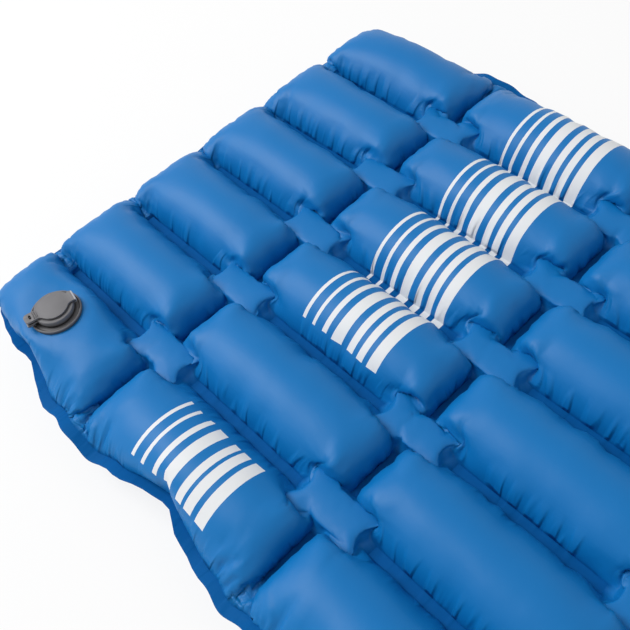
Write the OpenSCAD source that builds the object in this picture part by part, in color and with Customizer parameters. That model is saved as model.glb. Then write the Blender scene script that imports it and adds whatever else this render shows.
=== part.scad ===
// Inflatable sleeping pad: two coated sheets welded into rows of air chambers, with a two-stage
// flat valve in the corner chamber at the head. Millimetres, +Z up, +Y towards the head.
// The origin is on the ground under the middle of the pad.

/* [Air chambers] */
// Columns of chambers across the width
columns = 6; // [3:1:8]
// Rows of chambers along the length
rows = 10; // [4:1:12]
// Distance between the lengthwise seams of the inflated pad
column_pitch = 83; // [76:1:90]
// Distance between the cross seams of the inflated pad
row_pitch = 194; // [150:2:220]
// Length of the first and of the last row, from the edge weld to the first cross seam
end_row = 166; // [140:2:200]
// Thickness of the inflated pad
pad_h = 64; // [56:1:68]
// Width of the welded seams between chambers
seam_w = 8; // [6:0.5:10]

/* [Sheets] */
// Wall that stands for each coated sheet
sheet_t = 1.2; // [0.8:0.1:1.6]
// Width of the welded flange outside the outer seam line
flange_w = 5; // [3:0.5:8]
// Radius of the pad's four corners
corner_r = 46; // [38:1:50]
// Depth that the ground flattens each chamber of the lower sheet
ground_flat = 1; // [0.5:0.1:2]

/* [Star pillows] */
// Reach of a star pillow towards the ends of the cross seams
star_x = 18; // [14:0.5:22]
// Reach of a star pillow towards the ends of the lengthwise seams
star_y = 27; // [20:0.5:32]
// Reach of its four tips into the chambers, measured along X and along Y
star_tip = 24; // [20:0.5:26]
// Height of a star pillow above the weld plane
star_h = 17; // [10:1:20]
// Share of its outline that the top of a star pillow keeps
star_taper = 0.72; // [0.6:0.02:0.9]
// Reach of the half pillow where a seam stops short of the edge weld
edge_star = 19; // [14:0.5:22]
// Height of that half pillow above the weld plane
edge_star_h = 11; // [8:1:14]

/* [Valve base] */
// Turn of the valve about its own axis: its cap's hinge lies this far from +X
valve_turn = -11; // [-45:1:45]
// Height of the flat land for the valve above the weld plane
land_h = 29; // [26:0.5:29]
// Radius of the rim that shows on the sheet
rim_r = 21.3; // [21:0.1:23]
// Radial thickness of the raised lip on that rim
lip_t = 1.7; // [1.2:0.1:2]
// Height of the lip above the sheet
lip_h = 3; // [2.2:0.1:3.2]
// Radius of the deflation opening
port_r = 13.6; // [13.2:0.1:14]
// Wall of the neck round that opening
neck_t = 1.6; // [1.2:0.1:1.8]
// Height of the neck above the sheet
neck_h = 3.6; // [3.4:0.1:4]
// Depth of the neck below the sheet's face
neck_depth = 7; // [5:0.5:9]
// Thickness of the rim's foot and of the flange that is welded under the sheet
base_t = 1.2; // [0.8:0.1:1.5]
// Width of the weld between flange and sheet
base_weld_w = 8; // [6:0.5:8.5]
// Level sheet left round that weld
land_margin = 3; // [2:0.5:4]
// Radial gap between the neck and the hole in the sheet
hole_gap = 0.3; // [0.1:0.05:0.5]

/* [Deflation plug] */
// Radius of the plug's head
plug_r = 16.3; // [16:0.1:17]
// Thickness of the head
plug_t = 4.5; // [4.2:0.1:5]
// Gap between the head and the neck under it
seat_gap = 0.2; // [0.1:0.05:0.4]
// Depth of the skirt below the head
skirt_depth = 4; // [3:0.1:4.5]
// Wall of the skirt
skirt_t = 1.8; // [1.4:0.1:2]
// Radial gap between skirt and opening at the top of the skirt
skirt_gap = 0.4; // [0.3:0.05:0.6]
// How much narrower the skirt is at its lower end
skirt_taper = 0.4; // [0.2:0.05:0.8]
// Bevel on the outer edges of the valve's mouldings
edge_bevel = 0.5; // [0.2:0.1:0.7]

/* [Inflation port] */
// Radius of the inflation bore
bore_r = 7; // [6.6:0.1:7.2]
// Wall of the collar round the bore
collar_t = 1.8; // [1.4:0.1:2]
// Width of the groove round the collar, where the cap's ring sits
groove_w = 2.4; // [2.2:0.1:2.6]
// Depth of that groove
groove_d = 2.4; // [2.2:0.1:2.6]

/* [Flap seat] */
// Depth of the recess round the bore that the seat's sleeve is pressed into from below
seat_step = 0.4; // [0.3:0.05:0.5]
// Radial gap between the sleeve and that recess
press_gap = 0.05; // [0.02:0.01:0.1]
// How far the sleeve stands in from the bore, where its rim stops a pump's nozzle
stop_w = 0.6; // [0.4:0.1:0.8]
// Height of that rim above the stem's head when the flap is shut
stop_gap = 0.5; // [0.3:0.1:0.8]
// Radius of the opening in the seat
seat_r = 5.6; // [5:0.1:5.8]
// Thickness of the seat and its spider
seat_t = 1.2; // [1:0.1:1.5]
// Width of the spider's arms
arm_w = 1.6; // [1.2:0.1:2]
// Arms of the spider
arms = 4; // [3:1:6]

/* [Check flap] */
// Radius of the silicone flap
flap_r = 7.6; // [7.2:0.1:8]
// Thickness of the flap
flap_t = 0.8; // [0.6:0.1:1]
// Gap between the flap and its seat when shut
flap_gap = 0.1; // [0.05:0.05:0.2]
// Distance that the flap opens
flap_travel = 1.5; // [1.2:0.1:1.8]
// Radius of the flap's stem
stem_r = 0.9; // [0.7:0.05:1.1]
// Radial gap between the stem and the spider's hub
stem_gap = 0.2; // [0.1:0.05:0.3]
// Thickness of the head on the stem
stem_head_t = 0.6; // [0.4:0.1:0.8]
// Wall of the hub, which is also the overhang of the stem's head
hub_t = 1; // [0.8:0.1:1.3]

/* [Inflation cap] */
// Radius of the cap's disc
cap_r = 13; // [12.5:0.1:14]
// Thickness of the disc and its tabs
cap_t = 1.8; // [1.4:0.1:2.2]
// Gap between the cap and the plug's head
cap_gap = 0.2; // [0.1:0.05:0.3]
// Radial gap between the cap's ring and the collar
ring_gap = 0.4; // [0.35:0.05:0.5]
// Wall of the ring under the cap
ring_t = 1.3; // [1:0.1:1.5]
// Depth of the ring
ring_d = 1.9; // [1.5:0.1:2]
// Reach of the pull tab from the valve's axis
tab_reach = 24.4; // [23:0.1:25]
// Width of the pull tab
tab_w = 9.4; // [8:0.1:11]
// Radius of the hollow fillets between disc and tabs
tab_fillet = 5; // [3:0.5:6]
// Length of the slot through the pull tab
slot_l = 4.4; // [3:0.1:5]
// Width of that slot
slot_w = 2; // [1.5:0.1:2.4]
// Distance of the slot from the end of the tab
slot_inset = 5; // [4:0.1:6]
// Grip ridges across the pull tab
ridges = 3; // [2:1:4]
// Distance between the ridges
ridge_step = 1.5; // [1.3:0.1:1.8]
// Radius of a ridge
ridge_r = 0.5; // [0.4:0.05:0.6]
// Width of the cap's hinge tab, and of the strap under it
hinge_w = 11; // [9:0.1:12]
// Distance of the cap's fold line from the valve's axis
hinge_reach = 17.6; // [17.5:0.1:18]

/* [Straps] */
// Thickness of the flexible straps
strap_t = 1.1; // [0.8:0.1:1.1]
// Gap round the plug strap's ring in the rim's groove
strap_gap = 0.3; // [0.2:0.05:0.4]
// Width of the plug's strap
plug_strap_w = 9; // [7:0.1:10]
// Distance of the plug strap's fold from the valve's axis
fold_reach = 23.5; // [23.4:0.1:24.5]
// Height of that fold above the sheet
fold_h = 5.5; // [5.4:0.1:6]
// Gap between the two leaves of the folded strap
fold_gap = 0.2; // [0.1:0.05:0.3]

/* [Hidden] */
$fn = 96;
overlap = 1;
// Height of one sheet's chambers before the ground flattens them, and of the weld plane
vault_h = (pad_h + ground_flat) / 2;
weld_z = vault_h - ground_flat;
weld_w = columns * column_pitch;
weld_l = 2 * end_row + (rows - 2) * row_pitch;
half_w = weld_w / 2 + flange_w;
half_l = weld_l / 2 + flange_w;
column_x = [for (i = [0 : columns - 1]) (i - (columns - 1) / 2) * column_pitch];
seam_x = [for (i = [1 : columns - 1]) i * column_pitch - weld_w / 2];
seam_y = [for (j = [1 : rows - 1]) end_row + (j - 1) * row_pitch - weld_l / 2];
row_edges = concat([-weld_l / 2], seam_y, [weld_l / 2]);

// A vault is an arc over a chord: its radius, and how far its centre lies below the chord
function arc_r(half_chord, height) = (half_chord ^ 2 + height ^ 2) / (2 * height);
vault_run = (column_pitch - seam_w) / 2;
vault_r = arc_r(vault_run, vault_h);
vault_drop = vault_r - vault_h;
// The round corners stay a little lower than the vaults, so no two surfaces are tangent
corner_dip = 0.6;
corner_run = corner_r - flange_w - seam_w / 2;
corner_h = vault_h - corner_dip;

// The valve's land is a ball cut flat, because the stiff valve holds the sheet level round itself
neck_r = port_r + neck_t;
land_r = neck_r + base_weld_w + land_margin;
boss_r = vault_run - 0.8;
boss_z = (land_r ^ 2 + land_h ^ 2 - boss_r ^ 2) / (2 * land_h);
boss_ball = sqrt(boss_r ^ 2 + boss_z ^ 2);
valve_x = column_x[0];
valve_y = weld_l / 2 - end_row / 2;

// Heights in the valve, above the upper face of the sheet
plug_z = neck_h + seat_gap;
plug_top = plug_z + plug_t;
skirt_z = plug_z - skirt_depth;
skirt_r = port_r - skirt_gap;
collar_r = bore_r + collar_t;
cap_z = plug_top + cap_gap;
cap_top = cap_z + cap_t;
flap_top = skirt_z - flap_gap;
head_z = skirt_z + seat_t + flap_travel;
stop_z = head_z + stem_head_t + stop_gap;

module at_valve(height = 0) {
    translate([valve_x, valve_y, weld_z + land_h + height]) rotate([0, 0, valve_turn]) children();
}

// ---- sheets, drawn upwards from the weld plane

module column_vaults(inset) {
    for (x = column_x)
        translate([x, 0, -vault_drop]) rotate([90, 0, 0])
            cylinder(r = vault_r - inset, h = weld_l + 2 * overlap, center = true);
}

// The ends of each row close in the same arc, so that every chamber is a mitred cushion
module row_vaults(inset) {
    for (j = [0 : rows - 1]) {
        y0 = row_edges[j] + seam_w / 2 + vault_run;
        y1 = row_edges[j + 1] - seam_w / 2 - vault_run;
        for (y = [y0, y1])
            translate([0, y, -vault_drop]) rotate([0, 90, 0])
                cylinder(r = vault_r - inset, h = weld_w, center = true);
        translate([-weld_w / 2, y0, -vault_drop]) cube([weld_w, y1 - y0, vault_r + overlap]);
    }
}

// Cuts the square corners of the vaults down to a round cushion corner
module corner_cuts(inset) {
    for (sx = [-1, 1], sy = [-1, 1])
        translate([sx * (weld_w / 2 - seam_w / 2 - corner_run),
                   sy * (weld_l / 2 - seam_w / 2 - corner_run), 0])
            difference() {
                translate([sx > 0 ? 0 : -corner_r, sy > 0 ? 0 : -corner_r, -2 * overlap])
                    cube([corner_r, corner_r, pad_h]);
                cap_ball(corner_run, corner_h, inset);
            }
}

// A ball whose part above the weld plane is a cap of this radius and height
module cap_ball(radius, height, inset) {
    ball_r = arc_r(radius, height);
    translate([0, 0, height - ball_r]) sphere(r = ball_r - inset);
}

module star(reach_x, reach_y, tip, height, inset) {
    x = reach_x - inset;
    y = reach_y - inset;
    translate([0, 0, -overlap])
        linear_extrude(height = height + overlap - inset, scale = star_taper)
            polygon([[x, 0], [tip, tip], [0, y], [-tip, tip], [-x, 0], [-tip, -tip], [0, -y], [tip, -tip]]);
}

module stars(inset) {
    for (x = seam_x, y = seam_y)
        translate([x, y, 0]) star(star_x, star_y, star_tip, star_h, inset);
    edge_reach = seam_w / 2 + edge_star;
    for (x = seam_x, s = [-1, 1])
        translate([x, s * (weld_l / 2 - edge_reach), 0])
            star(edge_star, edge_star, edge_star, edge_star_h, inset);
    for (y = seam_y, s = [-1, 1])
        translate([s * (weld_w / 2 - edge_reach), y, 0])
            star(edge_star, edge_star, edge_star, edge_star_h, inset);
}

module air_space(inset) {
    difference() {
        intersection() {
            column_vaults(inset);
            row_vaults(inset);
        }
        corner_cuts(inset);
    }
    stars(inset);
}

module outline() {
    linear_extrude(height = sheet_t) {
        square([2 * (half_w - corner_r), 2 * half_l], center = true);
        square([2 * half_w, 2 * (half_l - corner_r)], center = true);
        for (sx = [-1, 1], sy = [-1, 1])
            translate([sx * (half_w - corner_r), sy * (half_l - corner_r)]) circle(r = corner_r);
    }
}

module sheet_outside() {
    air_space(0);
    outline();
}

// Keeps what lies between the weld plane and a height
module above_weld(height) {
    intersection() {
        children();
        translate([-half_w, -half_l, 0]) cube([2 * half_w, 2 * half_l, height]);
    }
}

module boss(inset) {
    translate([valve_x, valve_y, boss_z]) sphere(r = boss_ball - inset);
}

// The dished space above the land: level under the rim, then rising to the chamber's ridge
module land_cut(inset) {
    land_dip = vault_h - land_h;
    translate([valve_x, valve_y, land_h - inset])
        cylinder(r1 = land_r, r2 = land_r + 3 * (land_dip + overlap), h = land_dip + overlap);
}

module top_sheet() {
    color("steelblue") translate([0, 0, weld_z])
        difference() {
            above_weld(vault_h + overlap) {
                sheet_outside();
                boss(0);
            }
            land_cut(0);
            difference() {
                union() {
                    air_space(sheet_t);
                    boss(sheet_t);
                }
                land_cut(sheet_t);
            }
            translate([valve_x, valve_y, 0]) cylinder(r = neck_r + hole_gap, h = pad_h);
        }
}

module bottom_sheet() {
    color("steelblue") translate([0, 0, weld_z]) mirror([0, 0, 1])
        difference() {
            above_weld(weld_z) sheet_outside();
            intersection() {
                air_space(sheet_t);
                translate([0, 0, weld_z - sheet_t - pad_h]) cube([weld_w, weld_l, 2 * pad_h], center = true);
            }
        }
}

// ---- valve, drawn about its own axis with zero on the sheet's upper face

module ring(r_in, r_out, height) {
    difference() {
        cylinder(r = r_out, h = height);
        translate([0, 0, -overlap]) cylinder(r = r_in, h = height + 2 * overlap);
    }
}

// A stretch of ring that a strap of this width cuts out of it, towards +X or -X
module ring_sector(r_in, r_out, height, width, side) {
    intersection() {
        ring(r_in, r_out, height);
        translate([side > 0 ? 0 : -r_out, -width / 2, 0]) cube([r_out, width, height]);
    }
}

module valve_base() {
    flange_r = neck_r + base_weld_w;
    lip_in = rim_r - lip_t;
    color("dimgray") at_valve()
        rotate_extrude()
            polygon([[port_r, -neck_depth], [neck_r, -neck_depth],
                     [neck_r, -sheet_t - base_t], [flange_r, -sheet_t - base_t],
                     [flange_r, -sheet_t], [neck_r, -sheet_t], [neck_r, 0], [rim_r, 0],
                     [rim_r, lip_h - edge_bevel], [rim_r - edge_bevel, lip_h],
                     [lip_in + edge_bevel, lip_h], [lip_in, lip_h - edge_bevel],
                     [lip_in, base_t], [neck_r, base_t], [neck_r, neck_h],
                     [port_r + edge_bevel, neck_h], [port_r, neck_h - edge_bevel]]);
}

// A ring clipped over the neck, with a leaf that climbs over the lip to the fold
module plug_strap() {
    ring_in = neck_r + strap_gap;
    ring_out = rim_r - lip_t - strap_gap;
    leaf_z = fold_h - fold_gap / 2 - strap_t;
    color("dimgray") at_valve() {
        translate([0, 0, base_t]) ring(ring_in, ring_out, strap_t);
        translate([0, 0, base_t])
            ring_sector(ring_out - strap_t, ring_out, leaf_z + strap_t - base_t, plug_strap_w, -1);
        translate([0, 0, leaf_z])
            ring_sector(ring_out - strap_t, fold_reach, strap_t, plug_strap_w, -1);
    }
}

module deflation_plug() {
    groove_out = collar_r + groove_w;
    recess_r = bore_r + seat_step;
    color("dimgray") at_valve() {
        rotate_extrude()
            polygon([[recess_r, skirt_z], [collar_r, skirt_z], [collar_r, plug_z],
                     [skirt_r - skirt_t, plug_z], [skirt_r - skirt_t, skirt_z],
                     [skirt_r - skirt_taper, skirt_z], [skirt_r, plug_z], [plug_r, plug_z],
                     [plug_r, plug_top - edge_bevel], [plug_r - edge_bevel, plug_top],
                     [groove_out, plug_top], [groove_out, plug_top - groove_d],
                     [collar_r, plug_top - groove_d], [collar_r, plug_top],
                     [bore_r + edge_bevel, plug_top], [bore_r, plug_top - edge_bevel],
                     [bore_r, stop_z], [recess_r, stop_z]]);
        // the strap's upper leaf, moulded on the head's edge
        difference() {
            translate([-fold_reach + fold_gap + strap_t / 2, -plug_strap_w / 2, fold_h + fold_gap / 2])
                cube([fold_reach - fold_gap - strap_t / 2 - groove_out - overlap, plug_strap_w, strap_t]);
            translate([0, 0, fold_h]) cylinder(r = plug_r - overlap, h = plug_t);
        }
    }
}

// A sleeve with a spider at its foot: the spider's hub guides the flap's stem
module flap_seat() {
    hub_in = stem_r + stem_gap;
    hub_out = hub_in + hub_t;
    sleeve_in = bore_r - stop_w;
    sleeve_out = bore_r + seat_step - press_gap;
    color("dimgray") at_valve(skirt_z) {
        rotate_extrude()
            polygon([[seat_r, 0], [sleeve_out, 0], [sleeve_out, stop_z - skirt_z],
                     [sleeve_in, stop_z - skirt_z], [sleeve_in, seat_t], [seat_r, seat_t]]);
        ring(hub_in, hub_out, seat_t);
        for (i = [0 : arms - 1])
            rotate([0, 0, i * 360 / arms])
                translate([hub_out - hub_t / 2, -arm_w / 2, 0])
                    cube([seat_r - hub_out + hub_t, arm_w, seat_t]);
    }
}

module check_flap() {
    color("gainsboro") at_valve() {
        translate([0, 0, flap_top - flap_t]) cylinder(r = flap_r, h = flap_t);
        translate([0, 0, flap_top - flap_t / 2]) cylinder(r = stem_r, h = head_z - flap_top + flap_t);
        translate([0, 0, head_z]) cylinder(r1 = stem_r + stem_gap + hub_t, r2 = stem_r, h = stem_head_t);
    }
}

// Joins the plug's head to the cap's hinge tab under the fold
module cap_strap() {
    color("dimgray") at_valve(plug_top - 2 * strap_t)
        ring_sector(plug_r, hinge_reach - fold_gap, 2 * strap_t, hinge_w, 1);
}

// The hollow fillet where a straight-sided tab leaves a disc, as the area under its arc
module tab_root(disc_r, half_w_tab) {
    x = sqrt((disc_r + tab_fillet) ^ 2 - (half_w_tab + tab_fillet) ^ 2);
    difference() {
        polygon([[0, 0], [x, 0], [x, half_w_tab + tab_fillet]]);
        translate([x, half_w_tab + tab_fillet]) circle(r = tab_fillet);
    }
}

module cap_outline() {
    end_corner = tab_w / 3;
    circle(r = cap_r);
    for (s = [-1, 1]) scale([1, s]) {
        tab_root(cap_r, hinge_w / 2);
        mirror([1, 0]) tab_root(cap_r, tab_w / 2);
    }
    translate([0, -hinge_w / 2]) square([hinge_reach, hinge_w]);
    translate([-tab_reach + end_corner, -tab_w / 2]) square([tab_reach - end_corner, tab_w]);
    translate([-tab_reach, -tab_w / 2 + end_corner]) square([tab_reach, tab_w - 2 * end_corner]);
    for (s = [-1, 1])
        translate([-tab_reach + end_corner, s * (tab_w / 2 - end_corner)]) circle(r = end_corner);
}

module inflation_cap() {
    slot_x = -tab_reach + slot_inset;
    color("gray") at_valve() {
        difference() {
            translate([0, 0, cap_z]) linear_extrude(height = cap_t) cap_outline();
            for (y = [-1, 1] * (slot_l - slot_w) / 2)
                translate([slot_x, y, cap_z - overlap]) cylinder(r = slot_w / 2, h = cap_t + 2 * overlap);
            translate([slot_x - slot_w / 2, -(slot_l - slot_w) / 2, cap_z - overlap])
                cube([slot_w, slot_l - slot_w, cap_t + 2 * overlap]);
        }
        for (i = [0 : ridges - 1])
            translate([slot_x + slot_inset / 2 + i * ridge_step, 0, cap_top]) rotate([90, 0, 0])
                cylinder(r = ridge_r, h = tab_w * 0.8, center = true);
        translate([0, 0, cap_z - ring_d])
            ring(collar_r + ring_gap, collar_r + ring_gap + ring_t, ring_d + cap_t / 2);
    }
}

top_sheet();
bottom_sheet();
valve_base();
plug_strap();
deflation_plug();
flap_seat();
check_flap();
cap_strap();
inflation_cap();
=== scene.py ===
"""Air mattress: an inflated sleeping pad of two blue sheets welded into rows of chambers, with a flat grey
valve in one corner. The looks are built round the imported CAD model, in metres, in its frame: +Y is the
head end with the valve, +Z is up and the ground is Z = 0."""

import math

import bmesh
import bpy
import numpy as np
from mathutils import Matrix, Vector
from mathutils.bvhtree import BVHTree


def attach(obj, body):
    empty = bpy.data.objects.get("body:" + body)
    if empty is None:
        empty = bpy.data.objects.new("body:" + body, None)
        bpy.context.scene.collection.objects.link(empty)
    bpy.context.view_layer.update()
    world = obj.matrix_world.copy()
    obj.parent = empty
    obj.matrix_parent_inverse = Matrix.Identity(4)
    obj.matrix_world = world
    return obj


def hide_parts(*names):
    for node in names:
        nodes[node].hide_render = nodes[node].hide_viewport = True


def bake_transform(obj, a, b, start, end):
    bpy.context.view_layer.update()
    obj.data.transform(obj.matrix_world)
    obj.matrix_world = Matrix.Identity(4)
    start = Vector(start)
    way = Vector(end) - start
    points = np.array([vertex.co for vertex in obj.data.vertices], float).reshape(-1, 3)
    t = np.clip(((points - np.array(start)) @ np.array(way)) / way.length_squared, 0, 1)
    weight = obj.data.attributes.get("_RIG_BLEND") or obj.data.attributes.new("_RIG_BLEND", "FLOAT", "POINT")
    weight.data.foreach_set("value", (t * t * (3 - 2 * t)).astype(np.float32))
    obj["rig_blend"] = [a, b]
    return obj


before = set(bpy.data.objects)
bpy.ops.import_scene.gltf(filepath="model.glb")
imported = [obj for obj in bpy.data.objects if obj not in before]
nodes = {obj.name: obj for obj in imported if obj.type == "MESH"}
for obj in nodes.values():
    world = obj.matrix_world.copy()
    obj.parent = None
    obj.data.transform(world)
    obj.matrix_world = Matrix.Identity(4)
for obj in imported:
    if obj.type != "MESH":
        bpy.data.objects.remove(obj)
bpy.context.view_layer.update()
scene = bpy.context.scene

# ---------------------------------------------------------------------------------------------------
# Camera. It stands beside the pad's left edge and looks down over the valve corner towards the head
# end, as in the photograph. Its aim was fitted to the ends of the seams and to the stars.
# ---------------------------------------------------------------------------------------------------
FRAME_W, FRAME_H = 630, 630
FRAME_L = max(FRAME_W, FRAME_H)
CAMERA_AT = Vector((-0.2842, 0.3830, 0.5693))
CAMERA_LOOKS = Vector((0.33798247, 0.49618247, -0.79973171)).normalized()
CAMERA_RIGHT = Vector((0.71874977, -0.68465421, -0.12102633))
SENSOR_W = 36.0
LENS = SENSOR_W * 826.04 / FRAME_L
SHIFT_X, SHIFT_Y = 0.0, 0.0

camera_data = bpy.data.cameras.new("camera")
camera_data.sensor_fit = "AUTO"
camera_data.sensor_width = SENSOR_W
camera_data.lens = LENS
camera_data.shift_x, camera_data.shift_y = SHIFT_X, SHIFT_Y
camera_data.clip_start, camera_data.clip_end = 0.01, 100
camera = bpy.data.objects.new("camera", camera_data)
camera_up = CAMERA_RIGHT.cross(CAMERA_LOOKS).normalized()
camera_right = CAMERA_LOOKS.cross(camera_up)
camera.matrix_world = Matrix.Translation(CAMERA_AT) @ Matrix(
    (camera_right, camera_up, -CAMERA_LOOKS)
).transposed().to_4x4()
scene.collection.objects.link(camera)
scene.camera = camera
scene.view_settings.view_transform = "Standard"

# Where things show, as x, y in the photograph's frame of FRAME_W by FRAME_H. The left edge, the tab, the
# rim, star_1_4 and star_2_2 were moved from their places in the photograph, by up to 10 pixels, towards
# where the render shows them. A None is a coordinate that isn't given.
IMAGE_POINTS = {
    "left_edge": (0, None),
    "tab_end": (23, 319),
    "rim_left": (27, 319),
    "rim_right": (79, 304),
    "rim_bottom": (47, 331),
    "star_1_2": (243, 286),
    "star_1_1": (165, 350),
    "star_1_4": (379, 175),
    "star_2_2": (414, 427),
    "star_2_4": (563, 292),
    "single_first_left": (131, 455),
    "single_first_crown": (162.5, 418.4),
    "single_first_right": (196, 404),
    "single_last_left": (196, 527),
    "single_last_crown": (230.7, 487.0),
    "single_last_right": (262, 470),
    "wide_first_left": (302, 317),
    "wide_first_crown": (401.6, 222.6),
    "wide_last_left": (369, 374),
    "wide_last_crown": (471.8, 268.2),
}


def seen_at(point):
    """Where a point of the frame, in metres, shows in the picture."""
    d = Vector(point) - CAMERA_AT
    depth, scale = d.dot(CAMERA_LOOKS), FRAME_L * LENS / SENSOR_W
    x = FRAME_W / 2 - SHIFT_X * FRAME_L + scale * d.dot(camera_right) / depth
    y = FRAME_H / 2 + SHIFT_Y * FRAME_L - scale * d.dot(camera_up) / depth
    return x, y


def ray_through(x, y):
    """Direction from the camera through a point of the picture."""
    local = (
        x - FRAME_W / 2 + SHIFT_X * FRAME_L,
        FRAME_H / 2 - y + SHIFT_Y * FRAME_L,
        -FRAME_L * LENS / SENSOR_W,
    )
    d = camera_right * local[0] + camera_up * local[1] - CAMERA_LOOKS * local[2]
    return d.normalized()


# ---------------------------------------------------------------------------------------------------
# Sheets. The real pad is two equal sheets of coated polyester weave, welded to each other in short
# bands and round the edge, then blown up. The bands stop short of each other, so the air runs through and
# the slack cloth puffs up into a star over each crossing. Here one sheet is cut flat, drawn in at its
# welds and blown up with Blender's Cloth, and the other is its mirror image.
# ---------------------------------------------------------------------------------------------------
MM = 0.001
WELD_Z = 31.5  # height of the weld plane, in mm as all of this section's lengths
SHEET_GAP = 0.15  # from the weld plane to each sheet's face
CROWN = 32.5  # rise of a full chamber above that plane
COLUMNS = 6
COLUMN_PITCH = 83.0  # drawn-in widths
ROW_PITCH, END_ROW_PITCH = 194.0, 166.0
ROWS_TO_END = 4  # full rows between the pad's middle and the end row
SPARE_ROW = 120.0  # a shorter row beyond the middle, cut away after the simulation
SEAM_W, FLANGE_W = 8.0, 5.0
CHAMBER_CUT_W = 105.0  # flat width of cloth between two lengthwise bands
ROW_SLACK = 34.0  # cloth a row loses in length as it fills
BAND_X = (46.0, 43.0)  # length of a cross band in each column, flat and drawn in
BAND_Y_SHARE = (0.654, 0.629)  # the same for a lengthwise band, as shares of the row
CELL_X = {"flange": 5.0, "weld": 4.0, "free": 2.8, "held": 5.8}
CELL_Y = {"flange": 5.0, "weld": 4.0, "free": 2.9, "held": 9.0}
SIM_SCALE = 0.01  # the cloth is simulated at ten times its size

# the outline: its corners, how far the side edge stands out at a cross seam and is drawn in beside a
# chamber, small waves on top of that (height and length), and where from the middle all this fades in
CORNER_R = 62.0
SCALLOP = (9.0, 8.5)
SMALL_WAVES = ((1.3, 9.3), (0.9, 5.1))
WAVE_FROM, WAVE_FADE = 150.0, 85.0

# the star over a crossing: flat half width and half length of its cloth, where it ends as a share of
# that, its height, and how far its points are pulled out and its sides and the chambers' corners in
STAR_REACH = (33.5, 50.6)
STAR_END, STAR_FADE = 0.88, 0.30
STAR_EDGE_Z, STAR_KEEP = 10.0, 0.30
POINT_PULL, SIDE_PULL, CORNER_PULL = 0.36, 0.22, 0.13
POINT_RING, CORNER_RING = (0.78, 0.42), (1.38, 0.34)  # middle and half width of the rings that are pulled
TIP_AT, TIP_REACH, TIP_PULL = (21.0, 34.5, 12.0), 24.0, 0.45  # a chamber's corner, from the crossing
EVENING = 0.28  # share by which each point moves to the mean of its neighbours

# the valve's land
VALVE_AT = (-207.5, 859.0)
LAND_Z = 60.5
LAND_R, LAND_END_R = 25.5, 46.0
LAND_SIDE = 14.0  # how far up a chamber's side the land has no say
HOLE_R, HOLE_TRIM = 15.7, 0.4
GROUND_SOFT = 2.0  # the ground flattens what is lower than this


def cut_axis(pitches, slack, band, cells):
    """Grid lines of the flat cut along one side: flat place, drawn-in place and the kind of each stretch."""
    flat, drawn, kinds = [-FLANGE_W], [-FLANGE_W], []

    def run(kind, flat_length, drawn_length):
        n = max(1, round(flat_length / cells[kind]))
        a, b = flat[-1], drawn[-1]
        for k in range(1, n + 1):
            flat.append(a + flat_length * k / n)
            drawn.append(b + drawn_length * k / n)
            kinds.append(kind)

    run("flange", FLANGE_W, FLANGE_W)
    for i, pitch in enumerate(pitches):
        inner = pitch - SEAM_W
        held_flat, held = band(pitch)
        free_flat, free = (inner + slack(pitch) - held_flat) / 2, (inner - held) / 2
        run("weld", SEAM_W / 2, SEAM_W / 2)
        run("free", free_flat, free)
        run("held", held_flat, held)
        run("free", free_flat, free)
        run("weld", SEAM_W / 2, SEAM_W / 2)
    run("flange", FLANGE_W, FLANGE_W)
    return np.array(flat), np.array(drawn), kinds


def lines_in(kinds, *wanted):
    """Which grid lines touch a stretch of one of these kinds."""
    hit = np.array([k in wanted for k in kinds])
    return np.concatenate([hit[:1], hit[:-1] | hit[1:], hit[-1:]])


def round_corners(x, y, half_w, top):
    """Bends the square corners at the head end of a rectangle of points to quarter circles."""
    u = np.clip((np.abs(x) - (half_w - CORNER_R)) / CORNER_R, 0, 1)
    v = np.clip((y - (top - CORNER_R)) / CORNER_R, 0, 1)
    in_corner = (u > 0) & (v > 0)
    bent_x = np.sign(x) * (half_w - CORNER_R + CORNER_R * u * np.sqrt(1 - v * v / 2))
    bent_y = top - CORNER_R + CORNER_R * v * np.sqrt(1 - u * u / 2)
    return np.where(in_corner, bent_x, x), np.where(in_corner, bent_y, y)


def smooth_step(t):
    t = np.clip(t, 0, 1)
    return t * t * (3 - 2 * t)


flat_x, drawn_x, kinds_x = cut_axis(
    [COLUMN_PITCH] * COLUMNS,
    lambda p: CHAMBER_CUT_W - (COLUMN_PITCH - SEAM_W),
    lambda p: BAND_X,
    CELL_X,
)
flat_y, drawn_y, kinds_y = cut_axis(
    [SPARE_ROW] + [ROW_PITCH] * ROWS_TO_END + [END_ROW_PITCH],
    lambda p: ROW_SLACK,
    lambda p: (BAND_Y_SHARE[0] * p, BAND_Y_SHARE[1] * p),
    CELL_Y,
)
middle = int(np.argmin(np.abs(drawn_y - SPARE_ROW)))  # the line on the pad's middle cross seam
drawn_x -= COLUMNS * COLUMN_PITCH / 2
drawn_y -= SPARE_ROW
flat_x -= flat_x.max() - (flat_x.max() - flat_x.min()) / 2
flat_y -= flat_y[middle]
HALF_W, HALF_L = drawn_x.max(), drawn_y.max()
across, along = len(flat_x), len(flat_y)

weld_x, weld_y = lines_in(kinds_x, "weld", "flange"), lines_in(kinds_y, "weld", "flange")
held_x, held_y = lines_in(kinds_x, "held"), lines_in(kinds_y, "held")
rim = FLANGE_W + SEAM_W / 2 + 0.01
edge_x = np.abs(flat_x) >= flat_x.max() - rim
edge_y = (flat_y <= flat_y.min() + rim) | (flat_y >= flat_y.max() - rim)
welded = (weld_x[None, :] & held_y[:, None]) | (weld_y[:, None] & held_x[None, :])
welded |= edge_x[None, :] | edge_y[:, None]

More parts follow.
